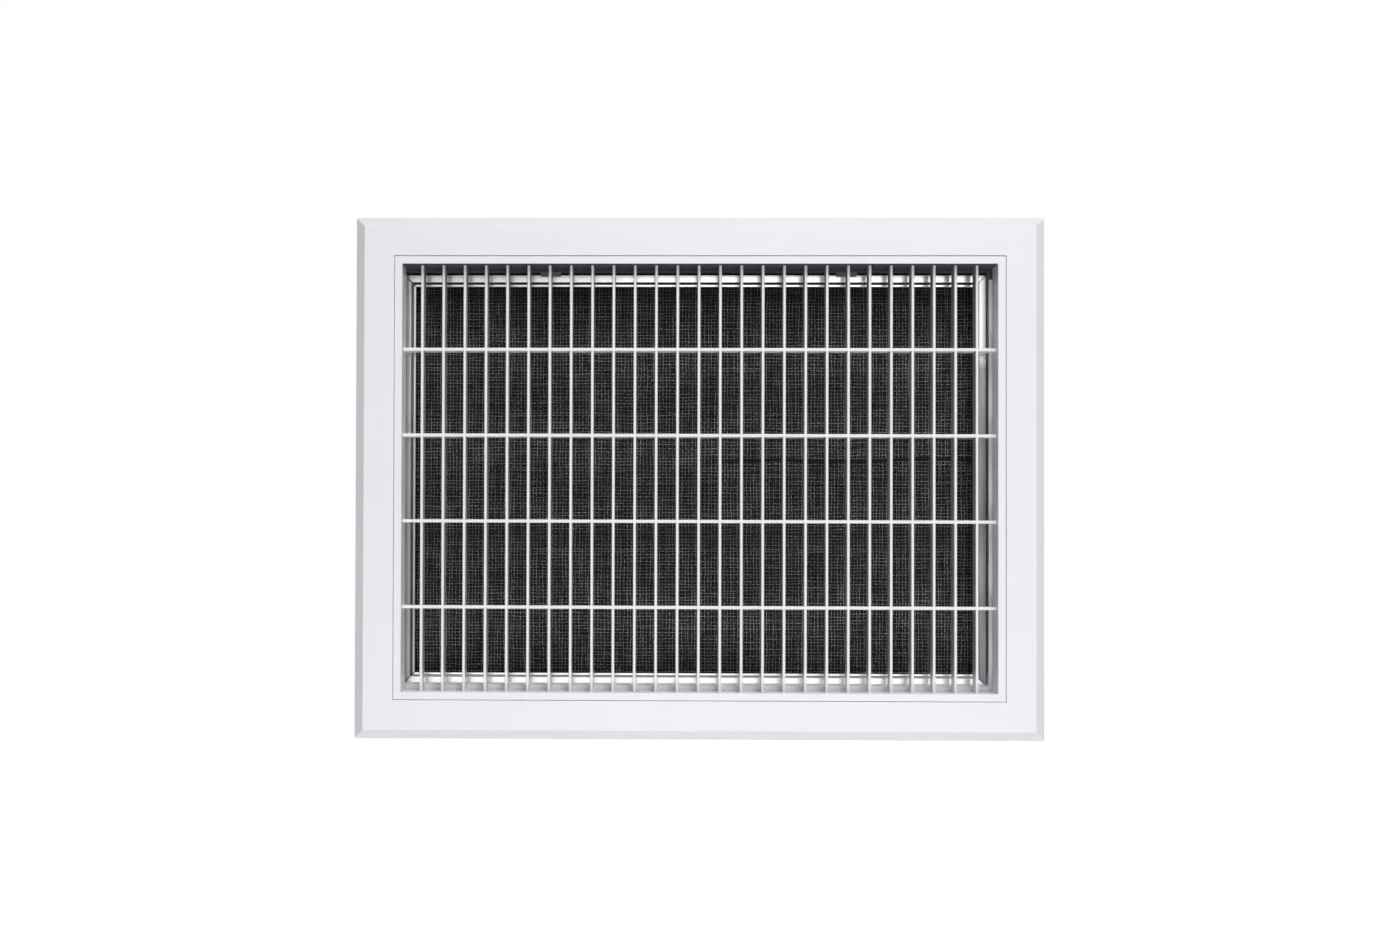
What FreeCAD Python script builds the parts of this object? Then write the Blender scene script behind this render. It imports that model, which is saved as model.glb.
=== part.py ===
# Return air filter grille: a moulded surround that sits over a wall opening, a hinged
# bar core that drops open for access, and a washable net filter in a steel frame.
#
# Millimetres. X runs along the grille, Z up, and the face looks towards -Y.
# The origin is the centre of the opening in the plane of the wall.
# Depths in this file are measured from the front face of the surround, going back.

import FreeCAD
import Part

import math
import os

from FreeCAD import Vector

# Surround
opening_width = 347.0
opening_height = 250.0
border_width = 27.3
flange_depth = 8.0
bevel_width = 5.3
bevel_depth = 4.2
shell_wall = 2.5
neck_lead = 3.0
face_edge_radius = 0.5
corner_radius = 1.2
mouth_edge_radius = 0.3

# Core: lip, tunnel, fins and crossbars in one moulding
lip_width = 4.5
lip_gap = 0.2
lip_recess = 0.4
lip_thickness = 2.2
lip_edge_chamfer = 0.45
tunnel_wall = 2.0
tunnel_depth = 17.6
fin_count = 27
fin_edge_gap = 11.0
bar_count = 4
bar_edge_gap = 49.4
grid_recess = 6.6
grid_depth = 11.0
fin_thickness = 1.75
bar_thickness = 1.9
fin_draft = 0.15
bar_draft = 0.15
grid_edge_chamfer = 0.3

# Seat that the lip closes on
seat_gap = 0.1
seat_width = 1.8
seat_thickness = 1.6
seat_corner_gap = 12.0

# Hinge at the lower corners
pin_radius = 1.0
pin_setback = 1.6
pin_height = 5.0
pin_running_gap = 0.05
pin_in_core = 3.4
pin_end_chamfer = 0.25
hinge_boss_depth = 4.8
hinge_boss_height = 8.5
bearing_length = 5.0
bearing_wall = 2.0

# Snap tongues at the top of the core
tongue_cell = 8
tongue_width = 8.0
tongue_slot = 1.1
tongue_root = 4.0
nose_catch = 0.7
nose_length = 3.2
nose_end = 0.3

# Filter pocket in the neck
pocket_side_gap = 2.8
guide_gap = 0.6
guide_depth = 10.0
pocket_head_gap = 1.4
shoulder_gap = 1.4
rear_ledge_width = 6.0
rear_ledge_thickness = 2.0
sill_height = 0.8
sill_thickness = 1.2
nib_overlap = 0.8
nib_width = 12.0
nib_spacing = 176.0
nib_gap = 0.3

# Filter frame: four channel rails of folded galvanised sheet, sized from the opening
filter_less_width = 0.5
filter_less_height = 6.0
filter_thickness = 15.0
filter_front_gap = 7.0
filter_shift = -2.2
sheet_thickness = 0.7
rail_flange = 6.9
hem_width = 1.5
hem_groove = 0.9
hem_groove_depth = 0.6
mitre_gap = 0.5
corner_tab_length = 14.0
corner_tab_width = 7.0
corner_tab_depth = 2.5
rivet_inset = 8.4
rivet_radius = 1.6
rivet_head_radius = 2.8
rivet_head_height = 0.5
rivet_tail_radius = 2.3
rivet_tail_height = 0.8

# Net and the wire that holds it in the rails
net_wall = 0.5
ridge_height = 0.35
ridge_width = 1.6
ridge_pitch = 9.75
net_edge_gap = 0.4
window_size = 2.6
window_columns = 10
window_rows = 7
wire_radius = 0.9
wire_corner_cut = 3.0

# Ribs behind the face
rib_thickness = 1.4
rib_spacing = 48.0
rib_wall_gap = 0.6

# Fixing holes through the neck
fixing_hole_radius = 2.25
fixing_sink_radius = 4.0
fixing_depth = 12.0
fixing_spacing = 160.0

# Mark left by the mould gate on the lower edge of the face
gate_mark_x = -5.0
gate_mark_radius = 2.0
gate_mark_depth = 0.35

# Worked out from the sizes above
opening_x = opening_width / 2
opening_z = opening_height / 2
outer_x = opening_x + border_width
outer_z = opening_z + border_width
flat_x = outer_x - bevel_width
flat_z = outer_z - bevel_width
lip_x = opening_x + lip_width
lip_z = opening_z + lip_width
mouth_x = lip_x + lip_gap
mouth_z = lip_z + lip_gap
tunnel_x = opening_x + tunnel_wall
tunnel_z = opening_z + tunnel_wall
tunnel_end = lip_recess + tunnel_depth
grid_front = lip_recess + grid_recess
grid_back = grid_front + grid_depth
seat_front = lip_recess + lip_thickness + seat_gap
seat_back = seat_front + seat_thickness
fin_pitch = (opening_width - 2 * fin_edge_gap) / (fin_count - 1)
bar_pitch = (opening_height - 2 * bar_edge_gap) / (bar_count - 1)
tongue_x = (tongue_cell + 0.5) * fin_pitch
tongue_bay = tongue_width + 2 * tongue_slot
nose_front = tunnel_end - nose_end - nose_length
shoulder_front = tunnel_end + shoulder_gap
filter_front = tunnel_end + filter_front_gap
filter_back = filter_front + filter_thickness
neck_back = filter_back + rear_ledge_thickness + neck_lead
filter_x = (opening_width - filter_less_width) / 2
filter_z = (opening_height - filter_less_height) / 2
pocket_x = filter_x + pocket_side_gap
pocket_low = -filter_z
pocket_high = filter_z + pocket_head_gap
net_back = filter_back - sheet_thickness
net_front = net_back - net_wall - 2 * ridge_height
pin_depth = lip_recess + pin_setback
pin_z = -lip_z + pin_height
boss_back = lip_recess + hinge_boss_depth
bearing_radius = pin_radius + pin_running_gap
bearing_outer = mouth_x + bearing_length
cut_past = 1.0
same_place = 1e-4

os.makedirs("parts", exist_ok=True)


def y_at(depth):
    """Y of a depth measured back from the face."""
    return depth - flange_depth


def box(x0, x1, d0, d1, z0, z1):
    """A box between two x, two depths and two heights."""
    return Part.makeBox(x1 - x0, d1 - d0, z1 - z0, Vector(x0, y_at(d0), z0))


def block(half_x, half_z, d0, d1):
    """A box centred on the opening."""
    return box(-half_x, half_x, d0, d1, -half_z, half_z)


def pocket_block(growth, d0, d1):
    """A box the size of the filter's pocket, grown on its four sides."""
    return box(-pocket_x - growth, pocket_x + growth, d0, d1,
               pocket_low - growth, pocket_high + growth)


def rectangle(half_x, half_z, depth):
    """A closed rectangular wire at one depth, centred on the opening."""
    corners = [(-half_x, -half_z), (half_x, -half_z), (half_x, half_z), (-half_x, half_z)]
    points = [Vector(x, y_at(depth), z) for x, z in corners]
    return Part.makePolygon(points + points[:1])


def frustum(front_x, front_z, d0, back_x, back_z, d1):
    """A solid that grows from one rectangle to another: a mitred bevel."""
    wires = [rectangle(front_x, front_z, d0), rectangle(back_x, back_z, d1)]
    return Part.makeLoft(wires, True, True)


def prism(points, direction):
    """A closed outline swept along a straight direction."""
    face = Part.Face(Part.makePolygon(points + points[:1]))
    return face.extrude(direction)


def x_cylinder(radius, x0, x1, depth, z):
    """A round bar along X."""
    return Part.makeCylinder(radius, x1 - x0, Vector(x0, y_at(depth), z), Vector(1, 0, 0))


def mirrored(shape):
    """The same shape on the other side of the centre plane."""
    return shape.mirror(Vector(0, 0, 0), Vector(1, 0, 0))


def fuse_all(shapes):
    """One solid from many, with seams between flush faces removed."""
    return shapes[0].fuse(shapes[1:]).removeSplitter()


def save(name, shape):
    """Write one sub-part and say how large it is."""
    if not shape.isValid():
        raise ValueError(name + " is not a valid solid")
    shape.exportStep("parts/" + name + ".step")
    size = shape.BoundBox
    print("%-20s solids %d  volume %.1f  size %.1f x %.1f x %.1f" % (
        name, len(shape.Solids), shape.Volume, size.XLength, size.YLength, size.ZLength))


def edges_on(shape, test):
    """The straight edges whose two ends both pass a test on their place."""
    return [edge for edge in shape.Edges if all(test(v.Point) for v in edge.Vertexes)]


def near(value, target):
    """Whether two lengths agree."""
    return abs(value - target) < same_place


def spread(count, pitch):
    """Places an even pitch apart, centred on zero."""
    return [(i - (count - 1) / 2) * pitch for i in range(count)]


# Surround

def face_shell():
    """The bevelled face and its side walls, hollow from behind."""
    outer = frustum(flat_x, flat_z, 0, outer_x, outer_z, bevel_depth)
    outer = outer.fuse(block(outer_x, outer_z, bevel_depth, flange_depth)).removeSplitter()
    corners = [e for e in outer.Edges
               if not near(e.Vertexes[0].Point.y, e.Vertexes[1].Point.y)]
    outer = outer.makeFillet(corner_radius, corners)
    front_edges = edges_on(outer, lambda p: near(p.y, y_at(0)))
    outer = outer.makeFillet(face_edge_radius, front_edges)

    bevel_angle = math.atan2(bevel_depth, bevel_width)
    face_shift = shell_wall * math.tan(bevel_angle / 2)
    side_shift = shell_wall * math.tan((math.pi / 2 - bevel_angle) / 2)
    side_start = bevel_depth + side_shift
    inner_x = outer_x - shell_wall
    inner_z = outer_z - shell_wall
    hollow = frustum(flat_x - face_shift, flat_z - face_shift, shell_wall,
                     inner_x, inner_z, side_start)
    hollow = hollow.fuse(block(inner_x, inner_z, side_start, flange_depth + cut_past))
    return outer.cut(hollow)


def face_ribs():
    """Ribs between the neck and the side walls, behind the face."""
    half = rib_thickness / 2
    d0 = bevel_depth + shell_wall / 2
    d1 = flange_depth - rib_wall_gap
    near_x = mouth_x + shell_wall / 2
    near_z = mouth_z + shell_wall / 2
    far_x = outer_x - shell_wall / 2
    far_z = outer_z - shell_wall / 2
    ribs = []
    for x in spread(int(opening_width // rib_spacing) + 1, rib_spacing):
        ribs.append(box(x - half, x + half, d0, d1, near_z, far_z))
        ribs.append(box(x - half, x + half, d0, d1, -far_z, -near_z))
    for z in spread(int(opening_height // rib_spacing) + 1, rib_spacing):
        ribs.append(box(near_x, far_x, d0, d1, z - half, z + half))
        ribs.append(box(-far_x, -near_x, d0, d1, z - half, z + half))
    return ribs


def neck():
    """The walls behind the face: a mouth for the core, then a pocket for the filter."""
    mouth = block(mouth_x + shell_wall, mouth_z + shell_wall, 0, shoulder_front + shell_wall)
    pocket = pocket_block(shell_wall, shoulder_front, neck_back)
    return mouth.fuse(pocket)


def neck_hollow():
    """The air passage through the neck, with the ledge that stops the filter left standing."""
    ledge_back = filter_back + rear_ledge_thickness
    spaces = [
        block(mouth_x, mouth_z, -cut_past, shoulder_front),
        pocket_block(0, shoulder_front - cut_past, filter_back),
        pocket_block(-rear_ledge_width, filter_back - cut_past, neck_back + cut_past),
        pocket_block(0, ledge_back, neck_back + cut_past),
    ]
    return spaces[0].fuse(spaces[1:])


def core_seat():
    """The step that the lip closes on, along the top and both sides.

    It is open above each snap tongue, so that the nose swings through.
    """
    front = seat_front - cut_past
    back = seat_back + cut_past
    ring = block(mouth_x + shell_wall / 2, mouth_z + shell_wall / 2, seat_front, seat_back)
    inside = block(mouth_x - seat_width, mouth_z - seat_width, front, back)
    cuts = [inside, box(-outer_x, outer_x, front, back, -outer_z, -mouth_z + seat_corner_gap)]
    for x in (-tongue_x, tongue_x):
        cuts.append(box(x - tongue_bay / 2, x + tongue_bay / 2, front, back,
                        mouth_z - seat_width - cut_past, mouth_z))
    return ring.cut(cuts)


def tongue_catches():
    """Two ledges under the top of the neck that the snap tongues catch behind."""
    return [box(x - tongue_bay / 2, x + tongue_bay / 2, nose_front - seat_thickness, nose_front,
                mouth_z - seat_width, mouth_z + shell_wall / 2)
            for x in (-tongue_x, tongue_x)]


def filter_sill():
    """A low sill that the lower edge of the filter stands behind."""
    sill_back = filter_front - nib_gap
    return box(-pocket_x - shell_wall / 2, pocket_x + shell_wall / 2,
               sill_back - sill_thickness, sill_back,
               pocket_low - shell_wall / 2, pocket_low + sill_height)


def filter_guide():
    """A rib down the right wall of the pocket that keeps the filter over to the left."""
    return box(filter_x + filter_shift + guide_gap, pocket_x + shell_wall / 2,
               shoulder_front, shoulder_front + guide_depth,
               pocket_low - shell_wall / 2, pocket_high + shell_wall / 2)


def filter_nibs():
    """Two nibs that the upper edge of the filter snaps behind."""
    back = y_at(filter_front - nib_gap)
    tip_z = filter_z - nib_overlap
    top_z = pocket_high + shell_wall / 2
    slope = top_z - tip_z
    nibs = []
    for side in (-1, 1):
        x = side * nib_spacing / 2 - nib_width / 2
        outline = [Vector(x, back, top_z), Vector(x, back, tip_z),
                   Vector(x, back - sill_thickness, tip_z),
                   Vector(x, back - sill_thickness - slope / 2, top_z)]
        nibs.append(prism(outline, Vector(nib_width, 0, 0)))
    return nibs


def bearing_boss():
    """The block behind the right lower corner that a hinge pin turns in."""
    reach = pin_radius + bearing_wall
    return box(mouth_x + shell_wall / 2, bearing_outer, shell_wall / 2, pin_depth + reach,
               pin_z - reach, pin_z + reach)


def bearing_hole():
    """The hole for the right hinge pin, open from behind the face."""
    return x_cylinder(bearing_radius, mouth_x - cut_past, bearing_outer + cut_past,
                      pin_depth, pin_z)


def countersunk_hole(place, outward):
    """A screw hole through the neck's wall, sunk on the inside so the head lies flush."""
    sink_depth = fixing_sink_radius - fixing_hole_radius
    hole = Part.makeCylinder(fixing_hole_radius, shell_wall + cut_past, place, outward)
    sink = Part.makeCone(fixing_sink_radius, fixing_hole_radius, sink_depth, place, outward)
    return hole.fuse(sink)


def fixing_holes():
    """Two screw holes out through each side wall of the neck."""
    y = y_at(fixing_depth)
    return [countersunk_hole(Vector(side * mouth_x, y, end * fixing_spacing), Vector(side, 0, 0))
            for side in (-1, 1) for end in (-0.5, 0.5)]


def gate_mark():
    """The shallow round scar that the mould gate leaves on the lower edge of the face."""
    centre = Vector(gate_mark_x, y_at(gate_mark_depth), -flat_z)
    return Part.makeCylinder(gate_mark_radius, bevel_depth, centre, Vector(0, -1, 0))


def make_surround():
    """The surround, moulded in one piece."""
    shape = fuse_all([face_shell(), neck()] + face_ribs())
    shape = shape.cut(neck_hollow())
    mouth_edges = edges_on(shape, lambda p: near(p.y, y_at(0)) and abs(p.x) < flat_x - cut_past
                           and abs(p.z) < flat_z - cut_past)
    shape = shape.makeFillet(mouth_edge_radius, mouth_edges)
    added = [core_seat(), filter_sill(), filter_guide(),
             bearing_boss(), mirrored(bearing_boss())]
    shape = fuse_all([shape] + added + tongue_catches() + filter_nibs())
    holes = fixing_holes() + [bearing_hole(), mirrored(bearing_hole()), gate_mark()]
    return shape.cut(holes)


# Core

def bar_outline(thickness, draft):
    """Half sizes of a bar's section by depth: a soft front edge and a drawn taper."""
    half = thickness / 2
    c = grid_edge_chamfer
    return [(-half + c, grid_front), (half - c, grid_front), (half, grid_front + c),
            (half - draft, grid_back), (-half + draft, grid_back), (-half, grid_front + c)]


def make_fin(x):
    """One upright fin, from wall to wall of the tunnel."""
    z0 = -opening_z - tunnel_wall / 2
    points = [Vector(x + side, y_at(depth), z0)
              for side, depth in bar_outline(fin_thickness, fin_draft)]
    return prism(points, Vector(0, 0, -2 * z0))


def make_bar(z):
    """One level crossbar, from wall to wall of the tunnel."""
    x0 = -opening_x - tunnel_wall / 2
    points = [Vector(x0, y_at(depth), z + side)
              for side, depth in bar_outline(bar_thickness, bar_draft)]
    return prism(points, Vector(-2 * x0, 0, 0))


def core_lip():
    """The flat lip round the opening, its outer front edges broken."""
    lip = block(lip_x, lip_z, lip_recess, lip_recess + lip_thickness)
    front_edges = edges_on(lip, lambda p: near(p.y, y_at(lip_recess)))
    return lip.makeChamfer(lip_edge_chamfer, front_edges)


def hinge_boss():
    """The block at the right lower corner that holds a hinge pin."""
    return box(tunnel_x - tunnel_wall / 2, lip_x, lip_recess + lip_thickness / 2, boss_back,
               -lip_z, -lip_z + hinge_boss_height)


def pin_hole():
    """The blind hole that the right hinge pin is pressed into."""
    return x_cylinder(pin_radius, lip_x - pin_in_core, lip_x + cut_past, pin_depth, pin_z)


def snap_nose(x):
    """The nose at the free end of a snap tongue: steep in front, a ramp behind."""
    base = opening_z + tunnel_wall / 2
    tip = mouth_z - seat_width + nose_catch
    back = nose_front + nose_length
    outline = [(nose_front, base), (nose_front, tunnel_z),
               (nose_front + nose_length / 4, tip), (nose_front + nose_length / 2, tip),
               (back, tunnel_z), (back, base)]
    points = [Vector(x - tongue_width / 2, y_at(depth), z) for depth, z in outline]
    return prism(points, Vector(tongue_width, 0, 0))


def tongue_slots(x):
    """The two slots that free a snap tongue from the tunnel wall."""
    slots = []
    for side in (-1, 1):
        centre = x + side * (tongue_width + tongue_slot) / 2
        slots.append(box(centre - tongue_slot / 2, centre + tongue_slot / 2,
                         lip_recess + tongue_root, tunnel_end + cut_past,
                         opening_z - cut_past, tunnel_z + cut_past))
    return slots


def make_core():
    """The core: lip, tunnel walls, fins, crossbars, hinge bosses and snap tongues."""
    tunnel = block(tunnel_x, tunnel_z, lip_recess, tunnel_end)
    frame = fuse_all([core_lip(), tunnel])
    frame = frame.cut(block(opening_x, opening_z, -cut_past, tunnel_end + cut_past))
    fins = [make_fin(x) for x in spread(fin_count, fin_pitch)]
    bars = [make_bar(z) for z in spread(bar_count, bar_pitch)]
    added = [hinge_boss(), mirrored(hinge_boss()), snap_nose(-tongue_x), snap_nose(tongue_x)]
    core = fuse_all([frame] + fins + bars + added)
    cuts = [pin_hole(), mirrored(pin_hole())]
    cuts += tongue_slots(-tongue_x) + tongue_slots(tongue_x)
    return core.cut(cuts)


def make_hinge_pin():
    """The right hinge pin: pressed into the core, turning in the surround."""
    start = lip_x - pin_in_core
    lead = Part.makeCone(pin_radius - pin_end_chamfer, pin_radius, pin_end_chamfer,
                         Vector(start, y_at(pin_depth), pin_z), Vector(1, 0, 0))
    pin = x_cylinder(pin_radius, start + pin_end_chamfer, bearing_outer, pin_depth, pin_z)
    return lead.fuse(pin)


# Filter

def placed_in_pocket(shape):
    """A filter piece moved to the side of the pocket where the filter stands."""
    moved = shape.copy()
    moved.translate(Vector(filter_shift, 0, 0))
    return moved


def rail_outline():
    """The folded section of a rail: distance in from the filter's edge, and depth."""
    t = sheet_thickness
    hem_start = rail_flange - hem_width
    groove_start = hem_start - hem_groove
    soft = t / 3
    return [
        (0, 0), (groove_start, 0), (groove_start + soft, hem_groove_depth),
        (hem_start - soft, hem_groove_depth), (hem_start, soft), (hem_start + soft, 0),
        (rail_flange - soft, 0), (rail_flange, soft), (rail_flange, 2 * t - soft),
        (rail_flange - soft, 2 * t), (hem_start - soft, 2 * t),
        (hem_start - 2 * soft, hem_groove_depth + t),
        (groove_start, hem_groove_depth + t), (groove_start - soft, t), (t, t),
        (t, filter_thickness - t), (rail_flange, filter_thickness - t),
        (rail_flange, filter_thickness), (0, filter_thickness),
    ]


def mitre_wedge(half_length, side):
    """What is cut from one end of a lower rail to leave its mitre."""
    m = mitre_gap / math.sqrt(2)
    reach = rail_flange + cut_past
    corners = [(m - cut_past, -cut_past), (m + reach, reach),
               (-2 * cut_past, reach), (-2 * cut_past, -cut_past)]
    points = [Vector(side * (half_length - u), y_at(filter_front - cut_past), v)
              for u, v in corners]
    return prism(points, Vector(0, filter_thickness + 2 * cut_past, 0))


def make_rail(half_length, half_across):
    """A rail as the lower one of a frame: its outer edge below, its ends mitred."""
    points = [Vector(-half_length, y_at(filter_front + d), v) for v, d in rail_outline()]
    rail = prism(points, Vector(2 * half_length, 0, 0))
    rail = rail.cut([mitre_wedge(half_length, -1), mitre_wedge(half_length, 1)])
    rail.translate(Vector(0, 0, -half_across))
    return rail


def turned(shape, angle):
    """A shape turned about the filter's centre, seen from the front."""
    copy = shape.copy()
    copy.rotate(Vector(0, 0, 0), Vector(0, 1, 0), angle)
    return copy


def rivet_place(side_x, side_z):
    """Where a corner rivet passes through a side rail."""
    depth = filter_front + corner_tab_depth + corner_tab_width / 2
    z = side_z * (filter_z - rivet_inset)
    return Vector(side_x * filter_x, y_at(depth), z)


def corner_rivet(side_x, side_z):
    """A rivet through a side rail and the tab of the rail above or below it."""
    place = rivet_place(side_x, side_z)
    inward = Vector(-side_x, 0, 0)
    grip = 2 * sheet_thickness
    shank = Part.makeCylinder(rivet_radius, grip, place, inward)
    head = Part.makeCylinder(rivet_head_radius, rivet_head_height, place, Vector(side_x, 0, 0))
    tail = Part.makeCylinder(rivet_tail_radius, rivet_tail_height, place + inward * grip, inward)
    return fuse_all([shank, head, tail])


def rivet_hole(side_x, side_z):
    """The hole for a corner rivet, through both sheets."""
    place = rivet_place(side_x, side_z)
    start = place + Vector(side_x * cut_past, 0, 0)
    return Part.makeCylinder(rivet_radius, 2 * sheet_thickness + 2 * cut_past, start,
                             Vector(-side_x, 0, 0))


def corner_tab(side_x, side_z):
    """The tab at the end of an upper or lower rail, flat against the side rail."""
    outer = filter_x - sheet_thickness
    inner = outer - sheet_thickness
    d0 = filter_front + corner_tab_depth
    high = filter_z - sheet_thickness / 2
    low = filter_z - corner_tab_length
    x0, x1 = sorted((side_x * inner, side_x * outer))
    z0, z1 = sorted((side_z * low, side_z * high))
    return box(x0, x1, d0, d0 + corner_tab_width, z0, z1)


def make_rails():
    """The four rails of the filter frame by name."""
    level = make_rail(filter_x, filter_z)
    upright = make_rail(filter_z, filter_x)
    lower = fuse_all([level, corner_tab(-1, -1), corner_tab(1, -1)])
    lower = lower.cut([rivet_hole(-1, -1), rivet_hole(1, -1)])
    side_holes = [rivet_hole(1, -1), rivet_hole(1, 1)]
    right = turned(upright, -90).cut(side_holes)
    return {
        "filter_rail_bottom": lower,
        "filter_rail_top": turned(lower, 180),
        "filter_rail_right": right,
        "filter_rail_left": mirrored(right),
    }


def make_rivets():
    """The four corner rivets as separate solids."""
    return Part.makeCompound([corner_rivet(x, z) for x in (-1, 1) for z in (-1, 1)])


def ridge_places(half_across):
    """Centres of the evenly spaced ridges across the net."""
    return spread(int(2 * half_across // ridge_pitch), ridge_pitch)


def window_places(half_across, count):
    """Centres of the net's windows, each midway between two ridges."""
    ridges = ridge_places(half_across)
    step = len(ridges) // count
    first = (len(ridges) - 1 - (count - 1) * step) // 2
    return [ridges[first + i * step] + ridge_pitch / 2 for i in range(count)]


def net_windows(half_x, half_z):
    """Small openings through the net, between its ridges."""
    half = window_size / 2
    return [box(x - half, x + half, net_front - cut_past, net_back + cut_past, z - half, z + half)
            for x in window_places(half_x, window_columns)
            for z in window_places(half_z, window_rows)]


def make_net():
    """The net: one wall with upright ridges in front and level ridges behind."""
    half_x = filter_x - sheet_thickness - net_edge_gap
    half_z = filter_z - sheet_thickness - net_edge_gap
    wall_front = net_front + ridge_height
    wall_back = net_back - ridge_height
    wall = block(half_x, half_z, wall_front, wall_back)
    half = ridge_width / 2
    front = [box(x - half, x + half, net_front, wall_front, -half_z, half_z)
             for x in ridge_places(half_x)]
    back = [box(-half_x, half_x, wall_back, net_back, z - half, z + half)
            for z in ridge_places(half_z)]
    net = wall.fuse(front + back)
    return net.cut(net_windows(half_x, half_z))


def make_net_wire():
    """A closed wire, bent twice at each corner, that holds the net down in the rails."""
    x = filter_x - sheet_thickness - wire_radius
    z = filter_z - sheet_thickness - wire_radius
    y = y_at(net_front - wire_radius)
    c = wire_corner_cut
    corners = [(x - c, -z), (x, c - z), (x, z - c), (x - c, z),
               (c - x, z), (-x, z - c), (-x, c - z), (c - x, -z)]
    points = [Vector(0, y, -z)] + [Vector(u, y, v) for u, v in corners]
    path = Part.makePolygon(points + points[:1])
    section = Part.Wire([Part.Circle(points[0], Vector(1, 0, 0), wire_radius).toShape()])
    right_corners = 1
    return path.makePipeShell([section], True, False, right_corners).removeSplitter()


save("surround", make_surround())
save("core", make_core())
save("hinge_pin_right", make_hinge_pin())
save("hinge_pin_left", mirrored(make_hinge_pin()))
for rail_name, rail_shape in make_rails().items():
    save(rail_name, placed_in_pocket(rail_shape))
save("corner_rivets", placed_in_pocket(make_rivets()))
save("filter_net", placed_in_pocket(make_net()))
save("net_wire", placed_in_pocket(make_net_wire()))
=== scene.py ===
# %% [markdown]
# # A return air filter grille
#
# This scene dresses a grille that hangs on a wall over a return air duct. A white
# moulded surround frames the opening. Inside it a white core of thin fins and crossbars
# is hinged along its lower edge, and behind the core stands a washable filter: a dark
# woven net in a frame of folded galvanised steel.
#
# The rigid pieces arrive with true shapes, so most of the work is in their finishes.
# The one piece that is made anew is the net, because its weave is far finer than its
# solid.
#
# The imported model is loaded first.

# %% Load the frame
import math

import bmesh
import bpy
from mathutils import Matrix, Vector


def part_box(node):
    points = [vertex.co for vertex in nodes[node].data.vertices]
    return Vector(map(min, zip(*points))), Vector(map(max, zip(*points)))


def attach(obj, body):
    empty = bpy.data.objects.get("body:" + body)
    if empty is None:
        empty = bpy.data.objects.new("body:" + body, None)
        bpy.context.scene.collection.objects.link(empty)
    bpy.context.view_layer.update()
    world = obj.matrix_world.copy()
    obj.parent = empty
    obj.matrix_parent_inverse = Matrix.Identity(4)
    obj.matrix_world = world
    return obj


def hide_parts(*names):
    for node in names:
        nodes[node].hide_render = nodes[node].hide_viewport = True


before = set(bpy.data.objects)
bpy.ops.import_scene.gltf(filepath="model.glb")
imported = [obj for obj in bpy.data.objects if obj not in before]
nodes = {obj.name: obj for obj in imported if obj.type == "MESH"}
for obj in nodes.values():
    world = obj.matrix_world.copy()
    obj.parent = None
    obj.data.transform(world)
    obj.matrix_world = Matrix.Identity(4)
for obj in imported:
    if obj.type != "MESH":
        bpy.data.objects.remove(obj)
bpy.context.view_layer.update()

MM = 0.001
MM_PER_METRE = 1000.0
scene = bpy.context.scene
print("nodes:", ", ".join(sorted(nodes)))

# %% [markdown]
# ## Small helpers for node trees
#
# Every finish below is a tree of nodes. Short helpers keep those trees readable. The
# first ones put a node in a tree, fill or link its sockets, and do sums, where each
# operand is a number or the output of another node.

# %% Helpers for nodes and sums
def put(tree, kind, sockets=None, **settings):
    """Adds a node, sets its properties, then the default values of its inputs."""
    made = tree.nodes.new(kind)
    for name, value in settings.items():
        setattr(made, name, value)
    for name, value in (sockets or {}).items():
        made.inputs[name].default_value = value
    return made


def join(tree, source, target):
    """Links an output socket to an input socket."""
    tree.links.new(source, target)


def feed(tree, operand, target):
    """Fills an input socket with a number or a tuple, or links an output to it."""
    if isinstance(operand, (int, float, tuple)):
        target.default_value = operand
    else:
        join(tree, operand, target)


def math_node(tree, operation, *operands, clamp=False):
    """A Math node. Returns its output."""
    made = put(tree, "ShaderNodeMath", operation=operation, use_clamp=clamp)
    for target, operand in zip(made.inputs, operands):
        feed(tree, operand, target)
    return made.outputs[0]


def plus(tree, first, second):
    """The sum of two operands."""
    return math_node(tree, "ADD", first, second)


def minus(tree, first, second):
    """The first operand less the second."""
    return math_node(tree, "SUBTRACT", first, second)


def times(tree, first, second, clamp=False):
    """The product of two operands, held to 0..1 if clamp is set."""
    return math_node(tree, "MULTIPLY", first, second, clamp=clamp)


def distance_from(tree, value, middle):
    """How far a value is from a middle, whichever side it is on."""
    return math_node(tree, "ABSOLUTE", minus(tree, value, middle))

# %% [markdown]
# ## Helpers for places and patterns
#
# A finish depends on where a point lies on the object, on how the surface is turned
# there, and on patterns that make it uneven. The helpers below give each of these as
# one number, so that a mask is a few products of them. The sizes of patterns are given
# in millimetres, as they would be measured on the real thing.
#
# The last helper starts a shader node group with named inputs and outputs. A group is
# built once and is then placed in each material with that material's own values.

# %% Helpers for places, patterns and groups
FLOAT = "NodeSocketFloat"
VECTOR = "NodeSocketVector"


def axes(tree, vector):
    """Splits a vector. Its parts are found by "X", "Y" and "Z"."""
    split = put(tree, "ShaderNodeSeparateXYZ")
    join(tree, vector, split.inputs[0])
    return split.outputs


def object_place(tree):
    """Where a point lies on the object, in metres."""
    return put(tree, "ShaderNodeTexCoord").outputs["Object"]


def surface_turn(tree):
    """Which way the surface faces, by axis."""
    return axes(tree, put(tree, "ShaderNodeNewGeometry").outputs["Normal"])


def texture_scale(tree, size_mm):
    """The scale at which the marks of a pattern are about size_mm large."""
    return math_node(tree, "DIVIDE", MM_PER_METRE, size_mm)


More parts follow.
